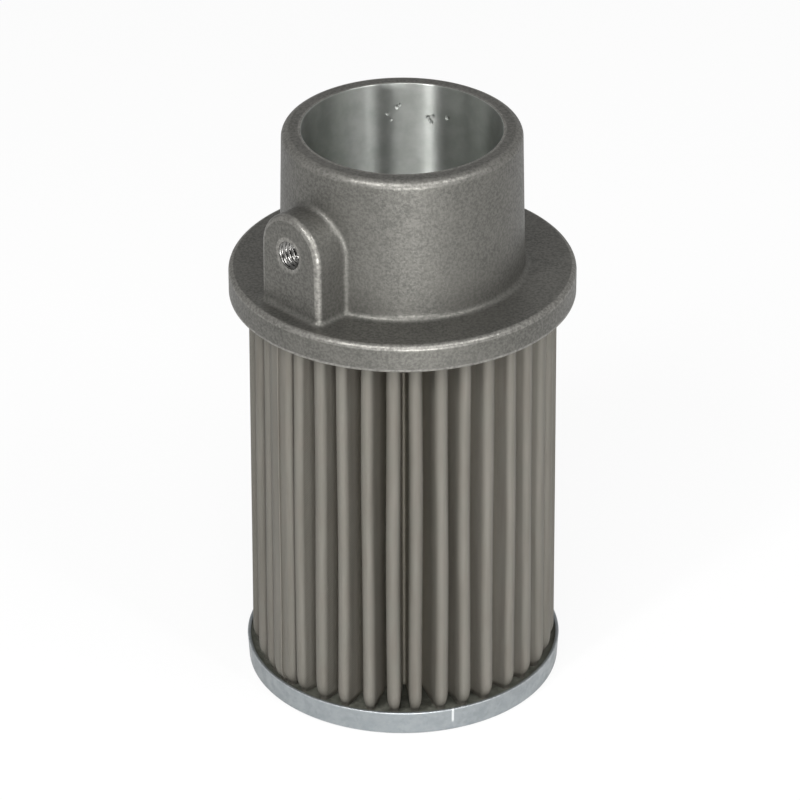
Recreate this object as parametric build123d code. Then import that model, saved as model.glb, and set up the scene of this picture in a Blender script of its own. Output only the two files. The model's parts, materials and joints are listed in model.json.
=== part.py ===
# Tank-mounted hydraulic suction filter: a cast head that slips over a pipe, and under it a pleated
# wire-cloth element on a perforated core, potted at both ends. Millimetres, Z up, origin on the
# underside of the bottom cap, on the axis of the pipe bore.
import os
from math import acos, atan2, ceil, cos, pi, radians, sin, tan

from build123d import *

# Pipe and bore of the head
pipe_od = 48.3          # 1 1/2 inch steel pipe, DN40
pipe_clearance = 0.1    # all round, so that the head slips on by hand
bore_depth = 30.0       # down to the shoulder that the pipe stops on
stop_ledge = 3.85       # width of that shoulder
mouth_chamfer = 0.5

# Widest of the flats that stand for the rounding of a turned edge, and for a bend of the cloth
edge_flat = 2.2
bend_flat = 0.85

# Collar of the head
collar_wall = 4.75      # at the top
collar_height = 36.4    # above the flange
collar_draft = 1.25     # degrees
collar_rim_radius = 2.1
cast_slope = 1.05       # in the inner corners, about what a fillet of 1.6 fills

# Flange of the head
flange_thickness = 7.0
flange_lip = 3.1        # between the potting groove and the edge
flange_edge_radius = 1.35

# Lug with the tapped hole for the screw that clamps the pipe
lug_angle = -137.0      # degrees about the axis
lug_proud = 7.0         # flat face, out from the foot of the collar
lug_arch_radius = 10.0
lug_hole_height = 15.2  # above the flange, also the centre of the arch
lug_draft = 0.8         # degrees, on its two sides
lug_edge = 1.1          # slope all round its face
tap_drill = 6.8         # for an M8 thread

# Potting groove and spigot under the flange
groove_depth = 4.0
groove_gap = 1.2        # resin outside the pleats
spigot_wall = 2.0

# Perforated core tube
core_sheet = 0.8
core_fit = 0.2          # over the spigot and over the pad of the cap, all round
hole_width = 13.0       # across the flats of a hexagon
hole_columns = 6
hole_rows = 4
core_plain_end = 9.0    # unpierced, at each end

# Pleated screen
pleat_count = 36
pleat_depth = 14.4
pleat_core_gap = 0.2
cloth = 0.6             # wire cloth and its backing
crown_radius = 1.6      # outside of the outer folds
fold_radius = 1.0       # outside of the inner folds, against the core
pleat_height = 99.7     # between the two beds of resin
first_pleat = -94.1     # degrees about the axis
seam_pleat = -5         # counted from the first one
seam_flat = 5.0         # flat of the wide crown where the two ends lap

# Bottom cap, pressed sheet
cap_sheet = 0.8
cap_height = 6.4
cap_gap = 0.65          # between pleats and rim
cap_corner = 0.85       # outside radius between floor and rim
pad_height = 5.2        # raised middle, which centres the core
resin_depth = 4.0

# Radii that follow
bore_radius = pipe_od / 2 + pipe_clearance
waterway_radius = bore_radius - stop_ledge
spigot_radius = waterway_radius + spigot_wall
core_inner = spigot_radius + core_fit
core_outer = core_inner + core_sheet
pleat_inner = core_outer + pleat_core_gap
pleat_outer = pleat_inner + pleat_depth
groove_radius = pleat_outer + groove_gap
flange_radius = groove_radius + flange_lip
collar_top = bore_radius + collar_wall
collar_foot = collar_top + collar_height * tan(radians(collar_draft))
lug_face = collar_foot + lug_proud
cap_inner = pleat_outer + cap_gap
pad_radius = core_inner - core_fit

# Heights that follow
resin_top = cap_sheet + resin_depth
flange_bottom = resin_top + pleat_height
groove_floor = flange_bottom + groove_depth
flange_top = flange_bottom + flange_thickness
head_top = flange_top + collar_height
bore_floor = head_top - bore_depth
lug_centre = flange_top + lug_hole_height


def in_flats(outline, width):
    """A closed outline with each of its arcs laid as equal chords, none wider than this."""
    points = []
    for edge in outline.wire().order_edges():
        steps = ceil(edge.length / width) if edge.geom_type == GeomType.CIRCLE else 1
        points += [edge @ (step / steps) for step in range(steps)]
    return Polyline(*points, close=True)


def turned(outline):
    """The solid that a closed outline of radius and height sweeps about the axis."""
    return revolve(Plane.XZ * make_face(outline), Axis.Z)


def ring(outer, inner, low, high):
    """A plain ring about the axis, from one height to another."""
    return turned(Polyline((inner, low), (outer, low), (outer, high), (inner, high), close=True))


def flange_and_collar():
    """The outside of the head, without its lug, with its two rounded edges."""
    outline = FilletPolyline(
        (0, flange_bottom), (flange_radius, flange_bottom), (flange_radius, flange_top),
        (collar_foot, flange_top), (collar_top, head_top), (0, head_top),
        radius=[0, 0, flange_edge_radius, 0, collar_rim_radius, 0], close=True)
    return turned(in_flats(outline, edge_flat))


def lug_plane(distance):
    """A plane square to the lug's direction, level with its hole, at this distance from the axis."""
    out = Vector(cos(radians(lug_angle)), sin(radians(lug_angle)), 0)
    return Plane(origin=out * distance + Vector(0, 0, lug_centre), x_dir=Vector(0, 0, 1).cross(out), z_dir=out)


def lug():
    """A tombstone block: drafted sides that run tangent into a round arch, and a sloped edge to its face."""
    lean = radians(lug_draft)
    spring = Vector(lug_arch_radius * cos(lean), lug_arch_radius * sin(lean))
    foot = Vector(spring.X + (lug_hole_height + spring.Y) * tan(lean), -lug_hole_height)
    arch = ThreePointArc(spring, (0, lug_arch_radius), (-spring.X, spring.Y))
    sides = Polyline((-spring.X, spring.Y), (-foot.X, foot.Y), foot, spring)
    outline = make_face([*arch.edges(), *sides.edges()])
    block = extrude(lug_plane(bore_radius) * outline, lug_face - bore_radius)
    face = block.faces().sort_by(Axis((0, 0, 0), lug_plane(0).z_dir))[-1]
    foot_edge = face.edges().sort_by(Axis.Z)[0]
    return chamfer([edge for edge in face.edges() if edge != foot_edge], lug_edge)


def head_casting():
    """The casting, with sloped inner corners, bored for the pipe and grooved underneath for the resin."""
    parts = [flange_and_collar(), lug()]
    body = parts[0] + parts[1]
    on_flange = body.edges().filter_by_position(Axis.Z, flange_top, flange_top)
    feet = on_flange.sort_by(SortBy.LENGTH)[:-1]  # all but the edge of the flange itself
    body = chamfer(new_edges(*parts, combined=body) + feet, cast_slope)
    body -= turned(Polyline(
        (0, head_top), (bore_radius + mouth_chamfer, head_top), (bore_radius, head_top - mouth_chamfer),
        (bore_radius, bore_floor), (waterway_radius, bore_floor), (waterway_radius, flange_bottom),
        (0, flange_bottom), close=True))
    body -= ring(groove_radius, spigot_radius, flange_bottom, groove_floor)
    return body - extrude(lug_plane(waterway_radius) * Circle(tap_drill / 2), lug_face)


def bend_edges(centre, radius, start, middle, end):
    """One round fold of the cloth, from one direction about its centre through another to a third."""
    return ThreePointArc(*(centre + way * radius for way in (start, middle, end))).edge()


class Pleat:
    """One outer fold of the screen, with the two flanks that run down to the inner folds beside it."""

    def __init__(self, number):
        pitch = 2 * pi / pleat_count
        angle = radians(first_pleat) + number * pitch
        seam = number == seam_pleat
        self.out = Vector(cos(angle), sin(angle))
        across = Vector(-sin(angle), cos(angle))
        # the seam is two cloths thick, so its crown is set in by one of them
        level = pleat_outer - crown_radius - (cloth if seam else 0)
        half_flat = (seam_flat if seam else 0) / 2
        self.flat = half_flat > 0
        self.corners = [self.out * level + across * side * half_flat for side in (-1, 1)]
        self.wells = [Vector(cos(angle + side * pitch / 2), sin(angle + side * pitch / 2)) for side in (-1, 1)]
        # a flank is the line that touches the crown on one side and the inner fold on the other
        self.normals = []
        for corner, well, side in zip(self.corners, self.wells, (-1, 1)):
            reach = well * (pleat_inner + fold_radius) - corner
            turn = acos((crown_radius + fold_radius - cloth) / reach.length)
            heading = atan2(reach.Y, reach.X) - side * turn
            self.normals.append(Vector(cos(heading), sin(heading)))

    def surface(self, depth):
        """The edges of one face of the cloth, this deep below its outer face, up to the middle of a fold."""
        crown, fold = crown_radius - depth, fold_radius - cloth + depth
        start, end = self.normals
        left, right = self.corners
        wells = [well * (pleat_inner + fold_radius) for well in self.wells]
        feet = [well - normal * fold for well, normal in zip(wells, self.normals)]
        edges = [
            bend_edges(wells[0], -fold, self.wells[0], (self.wells[0] + start).normalized(), start),
            Line(feet[0], left + start * crown).edge()]
        if self.flat:
            edges += [
                bend_edges(left, crown, start, (start + self.out).normalized(), self.out),
                Line(left + self.out * crown, right + self.out * crown).edge(),
                bend_edges(right, crown, self.out, (self.out + end).normalized(), end)]
        else:
            edges.append(bend_edges(left, crown, start, self.out, end))
        return edges + [
            Line(right + end * crown, feet[1]).edge(),
            bend_edges(wells[1], -fold, end, (self.wells[1] + end).normalized(), self.wells[1])]


def pleated_screen():
    """One folded sheet of wire cloth, closed by a lap over the crown of its widest pleat."""
    pleats = [Pleat(number + seam_pleat) for number in range(pleat_count)]
    faces = []
    for depth in (0, cloth):
        bends = Wire([edge for pleat in pleats for edge in pleat.surface(depth)])
        faces.append(make_face(in_flats(bends, bend_flat)))
    screen = extrude(Pos(0, 0, resin_top) * (faces[0] - faces[1]), pleat_height)
    seam = pleats[0]
    lap = Plane(origin=seam.out * (pleat_outer - cloth / 2) + Vector(0, 0, resin_top + pleat_height / 2),
                x_dir=Vector(0, 0, 1), z_dir=seam.out)
    return screen + extrude(lap * Rectangle(pleat_height, seam_flat), cloth / 2, both=True)


def core_tube():
    """Rolled from sheet pierced with hexagons. Every other row is half a pitch round."""
    tube = ring(core_outer, core_inner, cap_sheet, groove_floor)
    pitch = (groove_floor - cap_sheet - 2 * core_plain_end) / hole_rows
    drill = extrude(Plane.YZ * RegularPolygon(hole_width / 2, 6, major_radius=False), 2 * core_outer)
    holes = []
    for row in range(hole_rows):
        height = cap_sheet + core_plain_end + (row + 0.5) * pitch
        turn = 360 / hole_columns * (row % 2) / 2
        holes += [Pos(0, 0, height) * place * drill for place in PolarLocations(0, hole_columns, turn)]
    return tube - holes


def bottom_cap():
    """A pressed dish with an upright rim, and a raised pad that the core tube stands round."""
    rim, pad = cap_inner + cap_sheet, pad_radius - cap_sheet
    section = FilletPolyline(
        (0, pad_height), (pad_radius, pad_height), (pad_radius, cap_sheet), (cap_inner, cap_sheet),
        (cap_inner, cap_height), (rim, cap_height), (rim, 0), (pad, 0), (pad, pad_height - cap_sheet),
        (0, pad_height - cap_sheet), radius=[0, 0, 0, 0, 0, 0, cap_corner, 0, 0, 0], close=True)
    return turned(in_flats(section, edge_flat))


def lower_resin():
    """Resin run into the cap, between its rim and the foot of the core tube."""
    return ring(cap_inner, core_outer, cap_sheet, resin_top)


def upper_resin():
    """Resin in the groove of the head, between the core tube and the wall of the groove."""
    return ring(groove_radius, core_outer, flange_bottom, groove_floor)


os.makedirs("parts", exist_ok=True)
for part in (head_casting, pleated_screen, core_tube, bottom_cap, upper_resin, lower_resin):
    export_step(part(), f"parts/{part.__name__}.step")
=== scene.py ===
# %% [markdown]
# # A hydraulic suction filter, dressed over its CAD model
# The real object is a cast aluminium head over a pleated wire-cloth element, closed below by a pressed
# steel cap. The CAD model gives every size. Here each piece gets its true roundings and its finish.
# The frame comes in first, and its box is kept, so that the dressed filter can be set against it.

# %% Load the frame
import json
import math

import bmesh
import bpy
import numpy as np
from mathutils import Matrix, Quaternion, Vector

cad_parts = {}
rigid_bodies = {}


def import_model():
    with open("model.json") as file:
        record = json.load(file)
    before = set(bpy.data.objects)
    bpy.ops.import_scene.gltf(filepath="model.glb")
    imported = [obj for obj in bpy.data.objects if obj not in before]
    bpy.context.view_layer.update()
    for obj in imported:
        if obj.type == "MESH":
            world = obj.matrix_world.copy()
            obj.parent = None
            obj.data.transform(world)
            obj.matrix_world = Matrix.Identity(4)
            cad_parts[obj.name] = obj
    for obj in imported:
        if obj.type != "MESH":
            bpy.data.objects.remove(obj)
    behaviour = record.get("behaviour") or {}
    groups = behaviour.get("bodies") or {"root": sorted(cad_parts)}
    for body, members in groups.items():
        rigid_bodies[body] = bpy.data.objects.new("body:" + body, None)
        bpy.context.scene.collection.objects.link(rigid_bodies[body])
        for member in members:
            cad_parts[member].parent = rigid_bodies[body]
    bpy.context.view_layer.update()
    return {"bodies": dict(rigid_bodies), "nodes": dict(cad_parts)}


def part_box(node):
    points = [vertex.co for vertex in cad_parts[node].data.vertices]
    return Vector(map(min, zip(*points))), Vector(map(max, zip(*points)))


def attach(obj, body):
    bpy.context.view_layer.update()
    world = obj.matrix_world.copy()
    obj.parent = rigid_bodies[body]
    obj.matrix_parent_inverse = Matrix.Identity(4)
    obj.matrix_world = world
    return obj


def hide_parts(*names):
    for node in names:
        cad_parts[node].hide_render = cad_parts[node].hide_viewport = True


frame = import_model()
BODY = list(frame["bodies"])[0]
MM = 0.001

# %% [markdown]
# The camera is a long lens about 1.16 m away, looking down by 30 degrees. A short lens closer in would
# fill the picture as well, but it would open up the ellipses of the rim and the flange, so the lens
# was worked out from how flat those ellipses are. It stands a hair to the left, and leans a little.

# %% Camera
lens = bpy.data.cameras.new("camera")
lens.lens = 211.1
lens.sensor_width = 36.0
lens.clip_start, lens.clip_end = 0.05, 50.0
camera = bpy.data.objects.new("camera", lens)
bpy.context.scene.collection.objects.link(camera)
camera.location = (-0.00068, -1.00536, 0.64793)
looks_at = Vector((-0.00068, 0.0, 0.07293))
camera.rotation_mode = "QUATERNION"
aim = (looks_at - camera.location).to_track_quat("-Z", "Y")
camera.rotation_quaternion = aim @ Quaternion((0, 0, 1), math.radians(-0.14))
bpy.context.scene.camera = camera
bpy.context.scene.view_settings.view_transform = "Standard"
print("camera", round((looks_at - camera.location).length, 3), "m away")

# %% [markdown]
# Most pieces here are turned, folded or moulded, so their surfaces are grids: rows of points along one
# way and columns along the other. Modifiers could bevel a coarse mesh instead, but on a casting the
# roundings are what catches the light, and a grid puts them where they belong. The class below gathers
# grids, welds their shared edges and makes one mesh of them. It also measures how strongly the surface
# bends outwards at each point, because that is where a casting wears. Cycles has Pointiness for this,
# but it is unsteady on a mesh as fine as this one.


# %% A skin made of grids
def outward_bend(mesh):
    """How strongly the surface bends outwards at each point, in 1/mm. A rounding has half of 1/radius."""
    def read(values, name, width, kind=float):
        flat = np.empty(len(values) * width, kind)
        values.foreach_get(name, flat)
        return flat.reshape(-1, width) if width > 1 else flat
    points, ends = read(mesh.vertices, "co", 3), read(mesh.edges, "vertices", 2, int)
    normals, middles = read(mesh.polygons, "normal", 3), read(mesh.polygons, "center", 3)
    faces = np.repeat(np.arange(len(mesh.polygons)), read(mesh.polygons, "loop_total", 1, int))
    edges = read(mesh.loops, "edge_index", 1, int)
    order = np.argsort(edges, kind="stable")
    edges, faces = edges[order], faces[order]
    pair = np.flatnonzero(edges[:-1] == edges[1:])
    one, other, ends = faces[pair], faces[pair + 1], ends[edges[pair]]
    gap = middles[other] - middles[one]
    turn = np.arccos(np.clip(np.sum(normals[one] * normals[other], axis=1), -1, 1))
    turn *= -np.sign(np.sum(normals[one] * gap, axis=1))
    length = np.linalg.norm(points[ends[:, 0]] - points[ends[:, 1]], axis=1)
    turned, covered = np.zeros(len(points)), np.full(len(points), 1e-12)
    for end in ends.T:
        np.add.at(turned, end, turn * length)
        np.add.at(covered, end, np.linalg.norm(gap, axis=1) * length)
    bend_there = turned / covered
    total, count = bend_there.copy(), np.ones(len(points))
    for near, far in (ends.T, ends.T[::-1]):
        np.add.at(total, near, bend_there[far])
        np.add.at(count, near, 1)
    return total / count * MM


class Skin:
    """Grids of points in millimetres, welded into one mesh, with a finish number on each face."""

    def __init__(self):
        self.points, self.faces, self.finish = [], [], []

    def grid(self, rows, finish=0, keep=None):
        """Adds a grid of shape (rows, columns, 3). keep(i, j) may leave out the face at a row and column."""
        rows = np.asarray(rows, float)
        start = len(self.points)
        self.points.extend(rows.reshape(-1, 3))
        across = rows.shape[1]
        for i in range(rows.shape[0] - 1):
            for j in range(across - 1):
                if keep is None or keep(i, j):
                    a = start + i * across + j
                    self.faces.append((a, a + 1, a + across + 1, a + across))
                    self.finish.append(finish)

    def build(self, name, materials, weld=0.0015, sharp=32):
        """The mesh object, with faces turned outwards and edges left sharp over this many degrees."""
        mesh = bpy.data.meshes.new(name)
        mesh.from_pydata([tuple(p * MM) for p in self.points], [], self.faces)
        mesh.polygons.foreach_set("material_index", self.finish)
        shape = bmesh.new()
        shape.from_mesh(mesh)
        bmesh.ops.remove_doubles(shape, verts=shape.verts, dist=weld * MM)
        bmesh.ops.dissolve_degenerate(shape, edges=shape.edges, dist=1e-7)
        bmesh.ops.recalc_face_normals(shape, faces=shape.faces)
        shape.to_mesh(mesh)
        shape.free()
        mesh.shade_smooth()
        mesh.set_sharp_from_angle(angle=math.radians(sharp))
        mesh.attributes.new("bend", "FLOAT", "POINT").data.foreach_set("value", outward_bend(mesh))
        for material in materials:
            mesh.materials.append(material)
        piece = bpy.data.objects.new(name, mesh)
        bpy.context.scene.collection.objects.link(piece)
        print(name, len(mesh.vertices), "points", len(mesh.polygons), "faces")
        return piece


def polar(angle, radius, height):
    """Points at these angles in radians, radii and heights, which may be arrays."""
    angle, radius, height = np.broadcast_arrays(angle, radius, height)
    return np.stack([radius * np.cos(angle), radius * np.sin(angle), height], axis=-1)


def straight(start, end, step):
    """Points from start up to, but without, end, about this far apart."""
    start, end = np.array(start, float), np.array(end, float)
    count = max(1, int(round(np.linalg.norm(end - start) / step)))
    return [start + (end - start) * k / count for k in range(count)]


def bend(centre, radius, first, last, count):
    """Points on an arc from one angle in degrees to another, without its last point."""
    turns = np.radians(np.linspace(first, last, count + 1)[:-1])
    return [np.array(centre) + radius * np.array([math.cos(t), math.sin(t)]) for t in turns]


# %% [markdown]
# Several finishes share small effects, and each effect is a node group that is built once. The helpers
# keep the node code short: add makes a node and joins its sockets, maths is one Math node, and ramp
# turns one range of a value into another.


# %% Helpers for nodes
def add(tree, kind, settings=None, **values):
    """A shader node of this kind. Underscores in names stand for spaces, and sockets are linked."""
    made = tree.nodes.new(kind)
    for name, value in (settings or {}).items():
        setattr(made, name, value)
    for name, value in values.items():
        socket = made.inputs[name.replace("_", " ")]
        if isinstance(value, bpy.types.NodeSocket):
            tree.links.new(value, socket)
        else:
            socket.default_value = value
    return made


def maths(tree, operation, first, second=0.0, clamp=False):
    """The result of one Math node on two values or sockets."""
    made = tree.nodes.new("ShaderNodeMath")
    made.operation, made.use_clamp = operation, clamp
    for socket, value in zip(made.inputs, (first, second)):
        if isinstance(value, bpy.types.NodeSocket):
            tree.links.new(value, socket)
        else:
            socket.default_value = value
    return made.outputs[0]


def ramp(tree, value, low, high, to_low=0.0, to_high=1.0):
    """Turns low..high of a value into to_low..to_high, smoothly and never beyond."""
    made = add(tree, "ShaderNodeMapRange", {"interpolation_type": "SMOOTHSTEP"}, Value=value,
               From_Min=low, From_Max=high, To_Min=to_low, To_Max=to_high)
    return made.outputs[0]


def blend(tree, factor, first, second):
    """A colour between two colours or sockets."""
    made = tree.nodes.new("ShaderNodeMix")
    made.data_type = "RGBA"
    for index, value in ((0, factor), (6, first), (7, second)):
        if isinstance(value, bpy.types.NodeSocket):
            tree.links.new(value, made.inputs[index])
        else:
            made.inputs[index].default_value = value
    return made.outputs[2]


def noise(tree, place, size, detail=2.0, rough=0.5):
    """Noise from 0 to 1 whose blotches are about this many millimetres across."""
    made = add(tree, "ShaderNodeTexNoise", Vector=place, Scale=1.0 / (size * MM), Detail=detail,
               Roughness=rough)
    return made.outputs["Fac"]


def start_group(name, inputs, outputs):
    """An empty node group with named float inputs, given with their defaults, and float outputs."""
    tree = bpy.data.node_groups.new(name, "ShaderNodeTree")
    for label, value in inputs.items():
        tree.interface.new_socket(label, in_out="INPUT", socket_type="NodeSocketFloat").default_value = value
    for label in outputs:
        tree.interface.new_socket(label, in_out="OUTPUT", socket_type="NodeSocketFloat")
    return tree, tree.nodes.new("NodeGroupInput"), tree.nodes.new("NodeGroupOutput")


def place_group(tree, group, **values):
    """The group as a node in a material, with its own values."""
    made = tree.nodes.new("ShaderNodeGroup")
    made.node_tree = group
    for name, value in values.items():
        socket = made.inputs[name.replace("_", " ")]
        if isinstance(value, bpy.types.NodeSocket):
            tree.links.new(value, socket)
        else:
            socket.default_value = value
    return made


def start_material(name):
    """A new material and the shader at its end."""
    material = bpy.data.materials.new(name)
    material.use_nodes = True
    tree = material.node_tree
    return material, tree, tree.nodes["Principled BSDF"]


def bumped(tree, shader, height, depth, strength=1.0):
    """Raises the surface by a height from 0 to 1, this many millimetres deep."""
    made = add(tree, "ShaderNodeBump", Height=height, Distance=depth * MM, Strength=strength)
    tree.links.new(made.outputs["Normal"], shader.inputs["Normal"])


# %% [markdown]
# Sand or a blasted die leaves a casting with a fine grain: tiny bumps, a few deeper pits, and specks
# that are a little lighter or darker. The group gives three values: the height for a Bump node, the
# specks for the colour, and broad clouds where oil or heat has toned the skin.

# %% Group: cast grain
cast_grain, given, gives = start_group(
    "cast grain", {"Grain": 0.35, "Pits": 0.5}, ("Height", "Specks", "Clouds"))
tree = cast_grain
here = add(tree, "ShaderNodeTexCoord").outputs["Object"]
scale = maths(tree, "DIVIDE", 1000.0, given.outputs["Grain"])
bumps = add(tree, "ShaderNodeTexNoise", Vector=here, Scale=scale, Detail=3.0, Roughness=0.6)
cells = add(tree, "ShaderNodeTexVoronoi", Vector=here, Scale=maths(tree, "MULTIPLY", scale, 0.45))
pits = ramp(tree, cells.outputs["Distance"], 0.05, 0.32, 1.0, 0.0)
pits = maths(tree, "MULTIPLY", pits, given.outputs["Pits"])
specks = add(tree, "ShaderNodeTexNoise", Vector=here, Scale=maths(tree, "MULTIPLY", scale, 0.6),
             Detail=2.0, Roughness=0.7)
clouds = add(tree, "ShaderNodeTexNoise", Vector=here, Scale=95.0, Detail=3.0, Roughness=0.55)
tree.links.new(maths(tree, "SUBTRACT", bumps.outputs["Fac"], pits), gives.inputs["Height"])
tree.links.new(ramp(tree, specks.outputs["Fac"], 0.3, 0.7), gives.inputs["Specks"])
tree.links.new(ramp(tree, clouds.outputs["Fac"], 0.3, 0.7), gives.inputs["Clouds"])
print("cast grain:", len(tree.nodes), "nodes")

# %% [markdown]
# Edges rub against hands and other parts until they shine. The bend that each skin measured of itself
# finds them, and noise breaks the worn line up. A painted mask would also do, but it would have to be
# painted again after every change of shape.

# %% Group: edge wear
edge_wear, given, gives = start_group("edge wear", {"From": 0.12, "To": 0.33}, ("Worn",))
tree = edge_wear
here = add(tree, "ShaderNodeTexCoord").outputs["Object"]
sharpness = add(tree, "ShaderNodeAttribute", {"attribute_name": "bend"}).outputs["Fac"]
found = add(tree, "ShaderNodeMapRange", {"interpolation_type": "SMOOTHSTEP"}, Value=sharpness,
            From_Min=given.outputs["From"], From_Max=given.outputs["To"])
patchy = ramp(tree, noise(tree, here, 0.8, 3.0, 0.65), 0.35, 0.65, 0.25, 1.0)
tree.links.new(maths(tree, "MULTIPLY", found.outputs[0], patchy), gives.inputs["Worn"])
print("edge wear:", len(tree.nodes), "nodes")

# %% [markdown]
# The skin of the casting is dull aluminium: part metal, part oxide, so Metallic stays well below one
# and the roughness is high. Specks and clouds vary the colour, the worn edges are lighter and smoother,
# and the grain is bump, because its grains are too fine for the mesh.

# %% Material: cast skin
cast_skin, tree, shader = start_material("cast_skin")
grain = place_group(tree, cast_grain, Grain=0.42, Pits=0.5)
wear = place_group(tree, edge_wear, From=0.12, To=0.34)
colour = blend(tree, grain.outputs["Clouds"], (0.074, 0.073, 0.066, 1), (0.094, 0.092, 0.083, 1))
colour = blend(tree, maths(tree, "MULTIPLY", grain.outputs["Specks"], 0.6), colour,
               (0.165, 0.160, 0.146, 1))
colour = blend(tree, maths(tree, "MULTIPLY", wear.outputs["Worn"], 0.3), colour, (0.50, 0.485, 0.45, 1))
tree.links.new(colour, shader.inputs["Base Color"])
shader.inputs["Metallic"].default_value = 0.7
worn_gloss = maths(tree, "MULTIPLY", wear.outputs["Worn"], 0.08)
matt = ramp(tree, grain.outputs["Specks"], 0.0, 1.0, 0.52, 0.43)
tree.links.new(maths(tree, "SUBTRACT", matt, worn_gloss), shader.inputs["Roughness"])
bumped(tree, shader, grain.outputs["Height"], 0.05, 0.8)
print("cast skin:", len(tree.nodes), "nodes")

# %% [markdown]
# The bore is turned on a lathe, and the tool leaves fine rings. Seen together they draw every
# reflection out along the axis, so the shader is anisotropic about a tangent that runs round the axis,
# and a bump that changes only with height shows single rings. A few pores of the casting were cut open,
# and their insides get painted shade: the colour darkens with their depth.

# %% Material: turned bore
turned_face, tree, shader = start_material("turned_face")
here = add(tree, "ShaderNodeTexCoord").outputs["Object"]
heights = add(tree, "ShaderNodeMapping", Vector=here, Scale=(0.03, 0.03, 1.0)).outputs[0]
rings = noise(tree, heights, 0.22, 4.0, 0.7)
smears = ramp(tree, noise(tree, here, 6.0, 3.0, 0.6), 0.3, 0.7)
pore_shade = add(tree, "ShaderNodeAttribute", {"attribute_name": "pore_shade"}).outputs["Fac"]
colour = blend(tree, smears, (0.40, 0.415, 0.39, 1), (0.50, 0.515, 0.49, 1))
# Painted shade: the colour darkens inside the pores, more where they are deeper.
colour = blend(tree, maths(tree, "MULTIPLY", pore_shade, 0.4), colour, (0.06, 0.06, 0.055, 1))
tree.links.new(colour, shader.inputs["Base Color"])
shader.inputs["Metallic"].default_value = 1.0
shader.inputs["Anisotropic"].default_value = 1.0
shader.inputs["Anisotropic Rotation"].default_value = 0.25
about = add(tree, "ShaderNodeTangent", {"direction_type": "RADIAL", "axis": "Z"}).outputs[0]
tree.links.new(about, shader.inputs["Tangent"])
tree.links.new(ramp(tree, rings, 0.3, 0.7, 0.36, 0.42), shader.inputs["Roughness"])
bumped(tree, shader, rings, 0.006, 0.8)
print("turned face:", len(tree.nodes), "nodes")

# %% [markdown]
# The threads are cut cleanly. Their colour is kept dark as painted shade for the inside of the hole, so
# only their crests glint. The same grain group gives the tool's chatter, at a much finer size.

# %% Material: cut thread
cut_thread, tree, shader = start_material("cut_thread")
grain = place_group(tree, cast_grain, Grain=0.16, Pits=0.1)
# Painted shade: the thread's colour is darkened for the inside of the hole.
colour = blend(tree, grain.outputs["Specks"], (0.16, 0.157, 0.15, 1), (0.26, 0.255, 0.245, 1))
tree.links.new(colour, shader.inputs["Base Color"])
shader.inputs["Metallic"].default_value = 1.0
tree.links.new(ramp(tree, grain.outputs["Specks"], 0.0, 1.0, 0.36, 0.24), shader.inputs["Roughness"])
bumped(tree, shader, grain.outputs["Height"], 0.012, 0.6)
print("cut thread:", len(tree.nodes), "nodes")

# %% [markdown]
# ## The head
# It could be a lathed body with the lug joined by a Boolean and bevelled, but bevels across a Boolean
# seam tear easily. A pattern maker thinks of it as a ball rolled along every inner corner, and that is
# how it is made here: one radius gives the fillets round the collar's foot, round the lug, and in the
# corners where the three meet. These are the sizes, in millimetres.

# %% Sizes of the head
head_low, head_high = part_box("head_casting")
FLANGE_TOP, HEAD_TOP, FLANGE_LOW = 111.5, head_high.z / MM, 104.5
FLANGE_R, COLLAR_R, BORE_R, WATERWAY_R = 42.3, 29.0, 24.25, 20.4
SPIGOT_R, GROOVE_R, GROOVE_TOP, BORE_FLOOR = 22.4, 39.2, 108.5, 117.9
DRAFT = math.tan(math.radians(1.25))
RIM_ROUND, EDGE_ROUND, LOW_ROUND, MOUTH = 2.1, 1.35, 0.3, 0.15
BALL = 1.6
LUG_ANGLE = math.radians(-137.0)
LUG_FACE, LUG_ARCH, LUG_CENTRE, LUG_EDGE = 36.794, 10.0, 126.7, 1.5
LUG_LEAN = math.radians(0.8)
WINDOW = 27
print("head", [round(v / MM, 2) for v in (*head_low, *head_high)])


def cone(height):
    """Radius of the collar's outside at a height."""
    return COLLAR_R + (HEAD_TOP - height) * DRAFT


# %% [markdown]
# The outline of the head is walked once round, from the mouth of the bore outwards, down the collar,
# over the flange and back up inside. Each named stretch remembers where its rows start, because the
# lug and its hole later need openings in some of them.

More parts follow.
